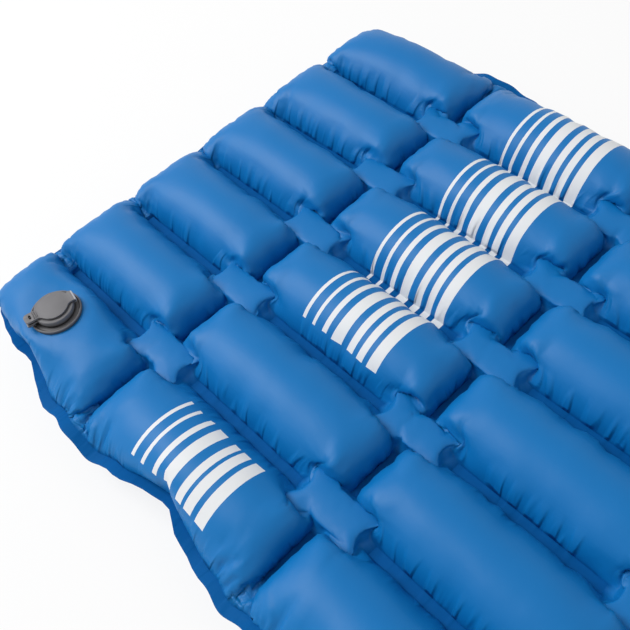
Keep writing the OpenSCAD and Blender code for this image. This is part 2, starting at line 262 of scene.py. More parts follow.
cut_u, cut_v = np.meshgrid(flat_x, flat_y)
place_x, place_y = np.meshgrid(drawn_x, drawn_y)
bent_u, bent_v = round_corners(cut_u, cut_v, flat_x.max(), flat_y.max())
inner_seams_x = [(c - COLUMNS / 2) * COLUMN_PITCH for c in range(1, COLUMNS)]
inner_seams_y = [HALF_L - FLANGE_W - END_ROW_PITCH - k * ROW_PITCH for k in range(ROWS_TO_END + 1)]
# the filled chambers draw the side edges in, and the cross seams let them stand out
to_seam = np.min([np.abs(place_y - at) for at in inner_seams_y], axis=0)
wave = SCALLOP[0] - (SCALLOP[0] + SCALLOP[1]) * smooth_step(to_seam / (ROW_PITCH / 2)) ** 2
(high, long), (low, short) = SMALL_WAVES
wave += high * np.sin(place_y / long + 1.0) + low * np.sin(place_y / short + np.sign(place_x))
near_side = np.where(edge_x[None, :], 1.0, smooth_step((np.abs(place_x) - WAVE_FROM) / WAVE_FADE))
place_x = place_x + np.where(edge_x[None, :] | edge_y[:, None], np.sign(place_x) * wave * near_side, 0.0)
place_x, place_y = round_corners(place_x, place_y, HALF_W, HALF_L)


def line_at(drawn, flat, place):
    """The flat place of the grid line nearest to a drawn-in place."""
    return flat[int(np.argmin(np.abs(drawn - place)))]


inner_seams_u = [line_at(drawn_x, flat_x, at) for at in inner_seams_x]
inner_seams_v = [line_at(drawn_y, flat_y, at) for at in inner_seams_y]


def grid_quads(columns, rows):
    k = np.arange(columns * rows).reshape(rows, columns)
    return np.stack([k[:-1, :-1], k[:-1, 1:], k[1:, 1:], k[1:, :-1]], -1).reshape(-1, 4)


def mesh_of(name, points, faces):
    """A smooth-shaded mesh from arrays of points and faces."""
    mesh = bpy.data.meshes.new(name)
    mesh.from_pydata(points.tolist(), [], [list(map(int, f)) for f in faces])
    mesh.polygons.foreach_set("use_smooth", np.ones(len(mesh.polygons), bool))
    mesh.update()
    return mesh


def blow_up():
    """The head half of one sheet and a spare row, in mm above the weld plane."""
    drawn_by, frames = 20, 34
    rng = np.random.default_rng(3)
    lift = np.where(welded, 0.0, 0.02 * (0.5 + rng.random(welded.shape)))
    # the flat cut starts about over the drawn-in pad, so that nothing is pulled far
    shift = (place_y.mean() - bent_v.mean()) * SIM_SCALE
    flat_co = np.stack([bent_u * SIM_SCALE, bent_v * SIM_SCALE + shift, lift], -1).reshape(-1, 3)
    drawn_co = np.stack([place_x * SIM_SCALE, place_y * SIM_SCALE, lift], -1).reshape(-1, 3)
    mesh = bpy.data.meshes.new("cut_sheet")
    mesh.from_pydata(flat_co.tolist(), [], grid_quads(across, along).tolist())
    cut = bpy.data.objects.new("cut_sheet", mesh)
    scene.collection.objects.link(cut)
    cut.shape_key_add(name="Basis")
    drawn_in = cut.shape_key_add(name="drawn_in")
    drawn_in.data.foreach_set("co", drawn_co.reshape(-1).astype(np.float32))
    drawn_in.value = 0
    drawn_in.keyframe_insert("value", frame=1)
    drawn_in.value = 1
    drawn_in.keyframe_insert("value", frame=drawn_by)
    held = cut.vertex_groups.new(name="welds")
    held.add(np.nonzero(welded.reshape(-1))[0].tolist(), 1.0, "REPLACE")
    cloth = cut.modifiers.new("cloth", "CLOTH")
    s = cloth.settings
    s.quality, s.mass, s.air_damping = 5, 0.3, 2.0
    s.tension_stiffness, s.compression_stiffness, s.shear_stiffness = 80, 20, 10
    s.bending_stiffness, s.bending_damping = 0.05, 0.5
    s.tension_damping = s.compression_damping = s.shear_damping = 5
    s.vertex_group_mass, s.pin_stiffness = "welds", 1
    s.use_pressure, s.use_pressure_volume, s.uniform_pressure_force = True, False, 25
    s.effector_weights.gravity = 0
    cloth.collision_settings.use_collision = False
    cloth.collision_settings.use_self_collision = False
    scene.frame_start, scene.frame_end = 1, frames
    cloth.point_cache.frame_start, cloth.point_cache.frame_end = 1, frames
    for f in range(1, frames + 1):
        scene.frame_set(f)
    filled = cut.evaluated_get(bpy.context.evaluated_depsgraph_get())
    co = np.empty(across * along * 3, np.float32)
    filled.data.vertices.foreach_get("co", co)
    bpy.data.objects.remove(cut)
    scene.frame_set(1)
    return co.reshape(along, across, 3).astype(float) / SIM_SCALE


half = blow_up()
half = half[middle:]
half[..., 2] *= CROWN / np.percentile(half[..., 2], 99.8)
half[..., 2] = np.maximum(half[..., 2], 0)
half[0, :, 1] = 0.0
half_u, half_v, half_weld = cut_u[middle:], cut_v[middle:], welded[middle:]

# evens out the grid's own steps in the tight folds
loose = ~half_weld
loose[0] = False
mean = half.copy()
mean[1:-1, 1:-1] = (half[:-2, 1:-1] + half[2:, 1:-1] + half[1:-1, :-2] + half[1:-1, 2:]) / 4
half = np.where(loose[..., None], (1 - EVENING) * half + EVENING * mean, half)


def bell(at, ring):
    """1 in the middle of a ring and 0 from its half width on."""
    middle_of_ring, half_width = ring
    return smooth_step(1 - np.abs(at - middle_of_ring) / half_width)


# Over each crossing the cloth is pulled towards the four chambers' corners: it lies flat and low, with its
# points along the diagonals and its sides drawn in at the welds' ends.
star_u = np.min([np.abs(half_u - at) for at in inner_seams_u], axis=0) / STAR_REACH[0]
star_v = np.min([np.abs(half_v - at) for at in inner_seams_v], axis=0) / STAR_REACH[1]
from_middle = np.hypot(star_u, star_v)
in_star = 1 - smooth_step((from_middle - STAR_END) / STAR_FADE)
in_star[half_weld] = 0
above = np.maximum(half[..., 2] - STAR_EDGE_Z, 0)
half[..., 2] -= in_star * (1 - STAR_KEEP) * above
diagonal = (2 * star_u * star_v / np.maximum(from_middle, 1e-6) ** 2) ** 3
pull = (POINT_PULL * diagonal - SIDE_PULL * (1 - diagonal)) * bell(from_middle, POINT_RING)
pull -= CORNER_PULL * diagonal * bell(from_middle, CORNER_RING)
pull[half_weld] = 0
for axis, centres in ((0, inner_seams_x), (1, inner_seams_y)):
    at = np.array(centres)[np.argmin([np.abs(half[..., axis] - c) for c in centres], axis=0)]
    half[..., axis] += pull * (half[..., axis] - at)

# Each chamber's corner ends in a tip beside the star's point, as a pillow's does.
for x, y in ((x, y) for x in inner_seams_x for y in inner_seams_y):
    for side_x, side_y in ((-1, -1), (-1, 1), (1, -1), (1, 1)):
        away = half - (x + side_x * TIP_AT[0], y + side_y * TIP_AT[1], TIP_AT[2])
        near = smooth_step(1 - np.linalg.norm(away, axis=-1) / TIP_REACH)
        near[half_weld] = 0
        half -= TIP_PULL * near[..., None] * away


def both_halves(values, flip=1):
    """The foot half before the head half, so that the faces still look up."""
    return np.concatenate([values[:0:-1] * flip, values])


filled = both_halves(half, [1, -1, 1])
sheet_u, sheet_v = both_halves(half_u), both_halves(half_v, -1)
sheet_weld, sheet_star = both_halves(half_weld), both_halves(in_star)
sheet_x, sheet_y = both_halves(place_x[middle:]), both_halves(place_y[middle:], -1)

# The welded edge ripples up and down, and the cloth beside it follows. Each ripple has a height, a length
# and the height and length of the sway that keeps it uneven.
RIPPLES_ALONG, RIPPLES_ACROSS = (3.2, 17.3, 0.9, 41.0), (2.2, 15.1, 0.8, 37.0)
RIPPLES_BOTH = (2.0, 8.9, 23.0)
RIPPLE_FROM, RIPPLE_FADE = 12.0, 44.0


def ripple(at, kind):
    high, length, sway, sway_length = kind
    return high * np.sin(at / length + sway * np.sin(at / sway_length))


from_edge = np.minimum(HALF_W - np.abs(sheet_x), HALF_L - np.abs(sheet_y))
edge_rise = ripple(filled[..., 1], RIPPLES_ALONG) + ripple(filled[..., 0], RIPPLES_ACROSS)
high, length_y, length_x = RIPPLES_BOTH
edge_rise += high * np.sin(filled[..., 1] / length_y + filled[..., 0] / length_x + 1.1)
edge_rise *= 1 - smooth_step((from_edge + RIPPLE_FROM) / RIPPLE_FADE)

# Near the valve the stiff flange under the cloth holds it level, and the welds on both sides stay down.
from_valve = np.hypot(filled[..., 0] - VALVE_AT[0], filled[..., 1] - VALVE_AT[1])
let_go = smooth_step((from_valve - LAND_R) / (LAND_END_R - LAND_R))
land_rise = LAND_Z - WELD_Z - SHEET_GAP - 0.05
seams_u = [line_at(drawn_x, flat_x, (c - COLUMNS / 2) * COLUMN_PITCH) for c in range(COLUMNS + 1)]
off_x = np.min([np.abs(sheet_u - at) for at in seams_u], axis=0)
let_go = np.maximum(let_go, 1 - smooth_step((off_x - SEAM_W / 2) / LAND_SIDE))

# How close the cloth is to a lengthwise and to a cross weld, for the short puckers beside them: each kind
# starts at a distance from the seam's middle and fades over a length.
PUCKER_X, PUCKER_Y = (5.0, 24.0), (2.0, 14.0)
PUCKER_ON_WELD = 0.15
weld_rows = flat_y[middle:][lines_in(kinds_y, "weld")[middle:]]
off_y = np.min([np.abs(np.abs(sheet_v) - at) for at in weld_rows], axis=0)
puckered = (1 - sheet_star) * (1 - (1 - PUCKER_ON_WELD) * sheet_weld)
pucker_x, pucker_y = (
    (1 - smooth_step((off - start) / fade)) * puckered
    for off, (start, fade) in ((off_x, PUCKER_X), (off_y, PUCKER_Y))
)


def sheet_mesh(name, upper):
    """One sheet as a mesh in metres, with its flat cut as UV and its welds and puckers as attributes."""
    p = filled.copy()
    if upper:
        p[..., 2] = land_rise * (1 - let_go) + p[..., 2] * let_go
        p[..., 2] = WELD_Z + SHEET_GAP + p[..., 2] + edge_rise
    else:
        p[..., 2] = WELD_Z - SHEET_GAP - p[..., 2] + edge_rise
        # the ground presses the lowest part of each chamber flat
        p[..., 2] = np.where(p[..., 2] < GROUND_SOFT, 0.5 * (p[..., 2] / GROUND_SOFT) ** 2, p[..., 2])
    points = p.reshape(-1, 3) * MM
    faces = grid_quads(across, len(filled))
    grid = np.arange(len(points)).reshape(len(filled), across)
    node = grid.reshape(-1)  # the point of the cut under each vertex
    if upper:
        in_hole = from_valve.reshape(-1) < HOLE_R - HOLE_TRIM
        faces = faces[~in_hole[faces].any(1)]
    else:  # with the cut edge of the two welded sheets, all round
        border = np.concatenate([grid[0, :-1], grid[:-1, -1], grid[-1, :0:-1], grid[:0:-1, 0]])
        lifted = len(points) + np.arange(len(border))
        cut_edge = np.stack([border, np.roll(border, -1), np.roll(lifted, -1), lifted], -1)
        points = np.concatenate([points, points[border] + [0, 0, 2 * SHEET_GAP * MM]])
        faces = np.concatenate([faces[:, ::-1], cut_edge])
        node = np.concatenate([node, border])
    mesh = mesh_of(name, points, faces)
    loops = np.empty(len(mesh.loops), np.int32)
    mesh.loops.foreach_get("vertex_index", loops)
    flat_uv = np.stack([sheet_u.reshape(-1)[node[loops]], sheet_v.reshape(-1)[node[loops]]], -1) * MM
    mesh.uv_layers.new(name="cut").data.foreach_set("uv", flat_uv.reshape(-1).astype(np.float32))
    for attribute, values in (("weld", sheet_weld), ("pucker_x", pucker_x), ("pucker_y", pucker_y)):
        layer = mesh.attributes.new(attribute, "FLOAT", "POINT")
        layer.data.foreach_set("value", values.reshape(-1)[node].astype(np.float32))
    work = bmesh.new()
    work.from_mesh(mesh)
    bmesh.ops.delete(work, geom=[v for v in work.verts if not v.link_faces], context="VERTS")
    if upper:  # the hole for the valve's neck is round
        centre = Vector(VALVE_AT) * MM
        for v in work.verts:
            if v.is_boundary and (v.co.xy - centre).length < LAND_R * MM:
                v.co.xy = centre + (v.co.xy - centre).normalized() * HOLE_R * MM
    # the welds end in a sharp fold on each side
    layer = work.verts.layers.float["weld"]
    for e in work.edges:
        flat_faces = [all(v[layer] > 0.5 for v in f.verts) for f in e.link_faces]
        if len(flat_faces) == 2 and flat_faces[0] != flat_faces[1]:
            e.smooth = False
    work.to_mesh(mesh)
    work.free()
    return mesh


def put(name, mesh):
    """A finished piece in the scene, at the origin."""
    o = bpy.data.objects.new(name, mesh)
    scene.collection.objects.link(o)
    return o


top_cloth = put("top_sheet_cloth", sheet_mesh("top_sheet_cloth", True))
bottom_cloth = put("bottom_sheet_cloth", sheet_mesh("bottom_sheet_cloth", False))
for piece, node in ((top_cloth, "top_sheet"), (bottom_cloth, "bottom_sheet")):
    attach(piece, "pad")
    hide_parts(node)

top_tree = BVHTree.FromObject(top_cloth, bpy.context.evaluated_depsgraph_get())


def place_on_sheet(x, y):
    """Where the ray through a picture's point meets the upper sheet, and the place of the flat cut there."""
    direction = ray_through(x, y)
    hit, _, face, _ = top_tree.ray_cast(CAMERA_AT, direction)
    if hit is None:  # the pad is about this far from the camera
        hit, _, face, _ = top_tree.find_nearest(CAMERA_AT + direction * 0.7)
    mesh = top_cloth.data
    uv, weights = Vector((0, 0)), 0
    for i in mesh.polygons[face].loop_indices:
        corner = mesh.vertices[mesh.loops[i].vertex_index].co
        weight = 1 / max((corner - hit).length, 1e-6)
        uv += weight * mesh.uv_layers["cut"].data[i].uv
        weights += weight
    return hit, uv / weights


# ---------------------------------------------------------------------------------------------------
# Cloth. Plain weave of fine polyester yarn with a satin coat, dyed blue. White bars of ink are printed
# across the second row: a short set on the valve's column and a long set over the far columns.
# ---------------------------------------------------------------------------------------------------
CLOTH_BLUE = (0.001, 0.156, 0.450, 1)
CLOTH_PALE = (0.002, 0.172, 0.485, 1)
# painted shade: the welds are the same cloth, given a darker blue for the shade of the valleys they lie in
WELD_SHADE_BLUE = (0.001, 0.100, 0.330, 1)
INK_WHITE = (0.78, 0.80, 0.82, 1)
YARN = 0.00042
# widths of the seven bars and the gaps between them in mm, from the head side, measured along a crown
BAR_WIDTHS = (3.4, 8.0, 3.9, 8.1, 5.3, 5.6, 9.0, 7.3, 6.8, 3.6, 6.8, 4.8, 9.7)
BARS_WITHIN, SETS_WITHIN = (0.50, 0.90), (-0.40, 0.40)  # spans of the pad and of the cut that hold all bars
RIGHT_MARGIN = 0.012  # from the long set's far end to the edge of the cut


def link(tree, a, b):
    tree.links.new(a, b)


def new_node(tree, kind, values=(), **settings):
    """A shader node with settings, and inputs given as {index or name: value or socket}."""
    n = tree.nodes.new(kind)
    for k, v in settings.items():
        setattr(n, k, v)
    for k, v in dict(values).items():
        if isinstance(v, bpy.types.NodeSocket):
            tree.links.new(v, n.inputs[k])
        else:
            n.inputs[k].default_value = v
    return n


def new_finish(name):
    """An empty material and its shader."""
    m = bpy.data.materials.new(name)
    m.use_nodes = True
    return m, m.node_tree, m.node_tree.nodes["Principled BSDF"]


def steps_ramp(tree, socket, edges, within):
    """1 between each pair of edges and 0 elsewhere, along a coordinate that stays within a span."""
    low, high = within
    span = new_node(tree, "ShaderNodeMapRange", {"Value": socket, "From Min": low, "From Max": high})
    ramp = new_node(tree, "ShaderNodeValToRGB", {"Fac": span.outputs["Result"]})
    ramp.color_ramp.interpolation = "CONSTANT"
    stops = ramp.color_ramp.elements
    stops[0].position, stops[0].color = 0, (0, 0, 0, 1)
    stops.remove(stops[1])
    for i, e in enumerate(edges):
        stop = stops.new((e - low) / (high - low))
        stop.color = (0, 0, 0, 1) if i % 2 else (1, 1, 1, 1)
    return ramp.outputs["Color"]


def bar_edges(first, last):
    """The bars' edges along the pad in metres, from the middles of the first bar and of the last."""
    between = sum(BAR_WIDTHS) - (BAR_WIDTHS[0] + BAR_WIDTHS[-1]) / 2
    scale = (last - first) / between
    at = first - scale * BAR_WIDTHS[0] / 2
    edges = [at]
    for width in BAR_WIDTHS:
        at += scale * width
        edges.append(at)
    return sorted(edges)


marks = {k: place_on_sheet(*IMAGE_POINTS[k]) for k in IMAGE_POINTS if k.startswith(("single", "wide"))}


def flat_mean(*names):
    """Mean place across the flat cut of some marks."""
    return sum(marks[n][1].x for n in names) / len(names)


# along the pad the bars lie by their place on it, and across it by the flat cut
single_y = marks["single_first_crown"][0].y, marks["single_last_crown"][0].y
wide_y = marks["wide_first_crown"][0].y, marks["wide_last_crown"][0].y
single_u = (
    flat_mean("single_first_left", "single_last_left"),
    flat_mean("single_first_right", "single_last_right"),
)
wide_u = flat_mean("wide_first_left", "wide_last_left"), flat_x.max() * MM - RIGHT_MARGIN


def cloth_finish(name, printed):
    m, tree, shader = new_finish(name)
    uv = new_node(tree, "ShaderNodeUVMap", uv_map="cut")
    parts = new_node(tree, "ShaderNodeSeparateXYZ", {0: uv.outputs["UV"]})
    u, v = parts.outputs["X"], parts.outputs["Y"]
    place = new_node(tree, "ShaderNodeTexCoord").outputs["Object"]
    weld = new_node(tree, "ShaderNodeAttribute", attribute_name="weld").outputs["Fac"]
    cloudy = new_node(
        tree, "ShaderNodeTexNoise", {"Vector": place, "Scale": 9.0, "Detail": 3.0, "Roughness": 0.55}
    ).outputs["Fac"]
    tone = new_node(
        tree, "ShaderNodeMix", {0: cloudy, 6: CLOTH_BLUE, 7: CLOTH_PALE}, data_type="RGBA"
    ).outputs[2]
    # painted shade: the welds, low between the chambers, take the darker blue
    tone = new_node(
        tree, "ShaderNodeMix", {0: weld, 6: tone, 7: WELD_SHADE_BLUE}, data_type="RGBA"
    ).outputs[2]
    # warp and weft
    yarns = []
    for axis in (u, v):
        turn = new_node(tree, "ShaderNodeMath", {0: axis, 1: 2 * math.pi / YARN}, operation="MULTIPLY")
        yarns.append(new_node(tree, "ShaderNodeMath", {0: turn.outputs[0]}, operation="SINE").outputs[0])
    weave = new_node(tree, "ShaderNodeMath", {0: yarns[0], 1: yarns[1]}, operation="MULTIPLY").outputs[0]
    fine = new_node(
        tree, "ShaderNodeTexNoise", {"Vector": place, "Scale": 240.0, "Detail": 4.0, "Roughness": 0.6}
    ).outputs["Fac"]
    crumple = new_node(
        tree,
        "ShaderNodeTexNoise",
        {"Vector": place, "Scale": 34.0, "Detail": 3.0, "Roughness": 0.5, "Distortion": 0.6},
    ).outputs["Fac"]
    bump = new_node(tree, "ShaderNodeBump", {"Strength": 0.06, "Distance": 0.004, "Height": crumple})
    # puckers: short ripples that run away from a weld, where the cloth was gathered along it
    for attribute, stretch in (("pucker_x", (14.0, 105.0, 1.0)), ("pucker_y", (105.0, 18.0, 1.0))):
        ripples = new_node(
            tree, "ShaderNodeVectorMath", {0: uv.outputs["UV"], 1: stretch}, operation="MULTIPLY"
        ).outputs[0]
        folds = new_node(
            tree, "ShaderNodeTexNoise", {"Vector": ripples, "Scale": 1.0, "Detail": 1.0, "Roughness": 0.4}
        ).outputs["Fac"]
        folds = new_node(
            tree,
            "ShaderNodeMapRange",
            {"Value": folds, "From Min": 0.46, "From Max": 0.64},
            interpolation_type="SMOOTHSTEP",
        ).outputs["Result"]
        nearness = new_node(tree, "ShaderNodeAttribute", attribute_name=attribute).outputs["Fac"]
        height = new_node(tree, "ShaderNodeMath", {0: folds, 1: nearness}, operation="MULTIPLY").outputs[0]
        bump = new_node(
            tree,
            "ShaderNodeBump",
            {"Strength": 0.8, "Distance": 0.0026, "Height": height, "Normal": bump.outputs[0]},
        )
    bump = new_node(
        tree,
        "ShaderNodeBump",
        {"Strength": 0.10, "Distance": 0.0006, "Height": fine, "Normal": bump.outputs[0]},
    )
    bump = new_node(
        tree,
        "ShaderNodeBump",
        {"Strength": 0.12, "Distance": 0.0001, "Height": weave, "Normal": bump.outputs[0]},
    )
    rough = new_node(
        tree, "ShaderNodeMapRange", {"Value": cloudy, "To Min": 0.40, "To Max": 0.50}
    ).outputs["Result"]
    rough = new_node(tree, "ShaderNodeMix", {0: weld, 2: rough, 3: 0.60}).outputs[0]
    if printed:
        ink = None
        along_pad = new_node(tree, "ShaderNodeSeparateXYZ", {0: place}).outputs["Y"]
        for (first, last), (left, right) in ((single_y, single_u), (wide_y, wide_u)):
            bars = steps_ramp(tree, along_pad, bar_edges(first, last), BARS_WITHIN)
            reach = steps_ramp(tree, u, (left, right), SETS_WITHIN)
            part = new_node(tree, "ShaderNodeMath", {0: bars, 1: reach}, operation="MULTIPLY").outputs[0]
            if ink is not None:
                part = new_node(tree, "ShaderNodeMath", {0: ink, 1: part}, operation="MAXIMUM").outputs[0]
            ink = part
        tone = new_node(
            tree, "ShaderNodeMix", {0: ink, 6: tone, 7: INK_WHITE}, data_type="RGBA"
        ).outputs[2]
        rough = new_node(tree, "ShaderNodeMix", {0: ink, 2: rough, 3: 0.55}).outputs[0]
    link(tree, tone, shader.inputs["Base Color"])
    link(tree, rough, shader.inputs["Roughness"])
    link(tree, bump.outputs[0], shader.inputs["Normal"])
    shine = new_node(tree, "ShaderNodeMix", {0: weld, 2: 0.28, 3: 0.06}).outputs[0]
    link(tree, shine, shader.inputs["Specular IOR Level"])
    return m


top_cloth.data.materials.append(cloth_finish("printed_blue_cloth", True))
bottom_cloth.data.materials.append(cloth_finish("blue_cloth", False))

# ---------------------------------------------------------------------------------------------------
# Valve. A flat two-stage valve of matte grey TPU: a base welded into the upper sheet, a wide plug for
# letting the air out, and in the plug a small port with a silicone flap and a snap-on cap.
# ---------------------------------------------------------------------------------------------------
VALVE_GREY = (0.118, 0.116, 0.124, 1)
VALVE_GREY_WORN = (0.165, 0.163, 0.172, 1)
SILICONE, SILICONE_WORN = (0.50, 0.52, 0.52, 1), (0.60, 0.62, 0.62, 1)
GROOVE_SHADE_SHARE = 0.12  # brightness of the painted shade deep in a groove, as a share of the colour
EDGE_SOFTNESS = 0.00022
VALVE_TURN = math.radians(-11)
VALVE_CENTRE = Vector((VALVE_AT[0], VALVE_AT[1], LAND_Z)) * MM
valve_place = Matrix.Translation(VALVE_CENTRE) @ Matrix.Rotation(VALVE_TURN, 4, "Z")


def moulded_finish(name, dark, pale, grain=900.0, rough=(0.50, 0.64)):
    """Moulded plastic: a fine spark-eroded grain, slightly paler, smoother worn edges and painted shade deep
    in its grooves.
    """
    m, tree, shader = new_finish(name)
    place = new_node(tree, "ShaderNodeTexCoord").outputs["Object"]
    cloudy = new_node(
        tree, "ShaderNodeTexNoise", {"Vector": place, "Scale": 60.0, "Detail": 4.0, "Roughness": 0.6}
    ).outputs["Fac"]
    grains = new_node(
        tree, "ShaderNodeTexNoise", {"Vector": place, "Scale": grain, "Detail": 2.0, "Roughness": 0.5}
    ).outputs["Fac"]
    edge = new_node(tree, "ShaderNodeNewGeometry").outputs["Pointiness"]
    worn = new_node(
        tree, "ShaderNodeMapRange", {"Value": edge, "From Min": 0.52, "From Max": 0.62}
    ).outputs["Result"]
    amount = new_node(tree, "ShaderNodeMath", {0: cloudy, 1: worn}, operation="MAXIMUM").outputs[0]
    tone = new_node(tree, "ShaderNodeMix", {0: amount, 6: dark, 7: pale}, data_type="RGBA").outputs[2]
    # painted shade: the colour darkens deep in the grooves, where little light reaches
    open_share = new_node(tree, "ShaderNodeAmbientOcclusion", {"Distance": 0.006}).outputs["AO"]
    open_share = new_node(
        tree, "ShaderNodeMapRange", {"Value": open_share, "From Min": 0.25, "From Max": 0.85}
    ).outputs["Result"]
    painted_groove_shade = tuple(GROOVE_SHADE_SHARE * c for c in dark[:3]) + (1,)
    tone = new_node(tree, "ShaderNodeMix", {0: open_share, 6: painted_groove_shade, 7: tone}, data_type="RGBA").outputs[2]
    link(tree, tone, shader.inputs["Base Color"])
    roughness = new_node(
        tree, "ShaderNodeMapRange", {"Value": grains, "To Min": rough[0], "To Max": rough[1]}
    ).outputs["Result"]
    link(tree, roughness, shader.inputs["Roughness"])
    bump = new_node(tree, "ShaderNodeBump", {"Strength": 0.22, "Distance": 0.00012, "Height": grains})
    link(tree, bump.outputs[0], shader.inputs["Normal"])
    return m


grey = moulded_finish("valve_grey", VALVE_GREY, VALVE_GREY_WORN)
silicone = moulded_finish("flap_silicone", SILICONE, SILICONE_WORN, 300.0, (0.35, 0.45))
for name in ("valve_base", "deflation_plug", "flap_seat", "inflation_cap", "check_flap"):
    o = nodes[name]
    o.data.materials.clear()
    o.data.materials.append(silicone if name == "check_flap" else grey)
    merge = o.modifiers.new("merge", "WELD")
    merge.merge_threshold = 0.00001
    soften = o.modifiers.new("soften", "BEVEL")
    soften.width, soften.segments, soften.limit_method = EDGE_SOFTNESS, 2, "ANGLE"
    soften.angle_limit = math.radians(40)
    soften.harden_normals = False
    o.data.polygons.foreach_set("use_smooth", np.ones(len(o.data.polygons), bool))

# ---------------------------------------------------------------------------------------------------
# Straps. Two thin webs of the same TPU hold the moving parts of the valve and bend as they open: a strap
# from a ring clipped over the neck to the plug's leaf, and a web from the plug's edge to the cap's tab.
# A painted highlight pales the outer face of their folds.
# ---------------------------------------------------------------------------------------------------
STRAP_T, STRAP_EDGE_R = 1.0, 0.18  # in mm, along the valve's axis and up from its foot, as all lengths here
PLUG_RING = (15.5, 19.3, 1.2, 2.3)  # inner and outer radius, lower and upper face
PLUG_HALF_W, CAP_HALF_W = 4.4, 5.4
# each fold's middle along the axis and up, its radius, and the strength of the painted highlight on it
PLUG_FOLD, PLUG_FOLD_R, PLUG_FOLD_HIGHLIGHT = (-23.35, 5.5), 0.65, 0.15
CAP_FOLD, CAP_FOLD_R, CAP_FOLD_HIGHLIGHT = (17.1, 8.35), 1.4, 0.85
PLUG_BENDS, CAP_BENDS = (-23.5, 5.2, 5.8), (17.6, 8.2, 8.6)  # place along the axis, lower and upper end
# colour of the painted highlight on the folds
FOLD_HIGHLIGHT_WHITE = (0.66, 0.67, 0.70, 1)


def turn_of(centre, r, start, end, steps=8):
    """Points of an arc in the valve's plane along its axis and up, angles in degrees."""
    angles = [math.radians(start + (end - start) * k / steps) for k in range(steps + 1)]
    return [(centre[0] + r * math.cos(a), centre[1] + r * math.sin(a)) for a in angles]


def strap_mesh(name, path, half_w, fold, fold_r, fold_highlight, ring=None):
    """A strap of even thickness along a path, and the ring that it may grow from, as closed shells."""
    work = bmesh.new()
    n = len(path)
    bmesh.ops.create_grid(work, x_segments=n - 1, y_segments=6, size=1)
    grown = bmesh.ops.extrude_face_region(work, geom=work.faces[:])["geom"]
    bmesh.ops.translate(work, verts=[g for g in grown if isinstance(g, bmesh.types.BMVert)], vec=(0, 0, 1))
    for v in work.verts:
        i = round((v.co.x + 1) / 2 * (n - 1))
        ahead, behind = Vector(path[min(i + 1, n - 1)]), Vector(path[max(i - 1, 0)])
        run = (ahead - behind).normalized()
        off = (v.co.z - 0.5) * STRAP_T
        v.co = (path[i][0] - run.y * off, v.co.y * half_w, path[i][1] + run.x * off)
    if ring:
        r_in, r_out, low, high = ring
        section = (r_in, low), (r_out, low), (r_out, high), (r_in, high)
        corners = [work.verts.new((r, 0, z)) for r, z in section]
        edges = [work.edges.new((corners[k], corners[k - 1])) for k in range(4)]
        bmesh.ops.spin(
            work, geom=edges, cent=(0, 0, 0), axis=(0, 0, 1), angle=2 * math.pi, steps=96, use_merge=True
        )
    bmesh.ops.recalc_face_normals(work, faces=work.faces)
    corners = [e for e in work.edges if len(e.link_faces) == 2 and e.calc_face_angle(0) > math.radians(60)]
    bmesh.ops.bevel(work, geom=corners, offset=STRAP_EDGE_R, segments=2, affect="EDGES", profile=0.5)
    # how far each point is on the fold's outer face, on its far side
    folds = []
    for v in work.verts:
        outward = 2 * (math.hypot(v.co.x - fold[0], v.co.z - fold[1]) - fold_r) / STRAP_T
        beyond = math.copysign(1, fold[0]) * (v.co.x - fold[0]) / 0.3
        folds.append(min(outward, beyond))
    bmesh.ops.transform(work, matrix=valve_place @ Matrix.Scale(MM, 4), verts=work.verts)
    mesh = bpy.data.meshes.new(name)
    work.to_mesh(mesh)
    work.free()
    mesh.polygons.foreach_set("use_smooth", np.ones(len(mesh.polygons), bool))
    # the painted highlight's share over the fold's outer face
    layer = mesh.attributes.new("fold", "FLOAT", "POINT")
    layer.data.foreach_set("value", fold_highlight * np.clip(np.array(folds, np.float32), 0, 1))
    return mesh


strap_grey = moulded_finish("strap_grey", VALVE_GREY, VALVE_GREY_WORN)
tree = strap_grey.node_tree
shader = tree.nodes["Principled BSDF"]
# painted highlight: the fold's outer face is mixed towards white
plain = shader.inputs["Base Color"].links[0].from_socket
highlight_share = new_node(tree, "ShaderNodeAttribute", attribute_name="fold").outputs["Fac"]
fold_highlight = new_node(tree, "ShaderNodeMix", {0: highlight_share, 6: plain, 7: FOLD_HIGHLIGHT_WHITE}, data_type="RGBA")
link(tree, fold_highlight.outputs[2], shader.inputs["Base Color"])

plug_path = [(-18.75, 1.6), (-18.75, 4.3), (-18.95, 4.7), (-19.4, 4.85), (-21.4, 4.85)]
plug_path += turn_of(PLUG_FOLD, PLUG_FOLD_R, 270, 90) + [(-22.3, 6.15)]
cap_path = [(15.0, 6.95), (16.4, 6.95)] + turn_of(CAP_FOLD, CAP_FOLD_R, -90, 90) + [(16.2, 9.75)]
plug_mesh = strap_mesh(
    "plug_strap_loop", plug_path, PLUG_HALF_W, PLUG_FOLD, PLUG_FOLD_R, PLUG_FOLD_HIGHLIGHT, PLUG_RING
)
cap_mesh = strap_mesh("cap_strap_web", cap_path, CAP_HALF_W, CAP_FOLD, CAP_FOLD_R, CAP_FOLD_HIGHLIGHT)
plug_loop, cap_web = put("plug_strap_loop", plug_mesh), put("cap_strap_web", cap_mesh)
for piece, node, a, b, (place, low, high) in (
    (plug_loop, "plug_strap", "pad", "plug", PLUG_BENDS),
    (cap_web, "cap_strap", "plug", "cap", CAP_BENDS),
):
    piece.data.materials.append(strap_grey)
    start, end = (valve_place @ (Vector((place, 0, w)) * MM) for w in (low, high))
    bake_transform(piece, a, b, start, end)
    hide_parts(node)

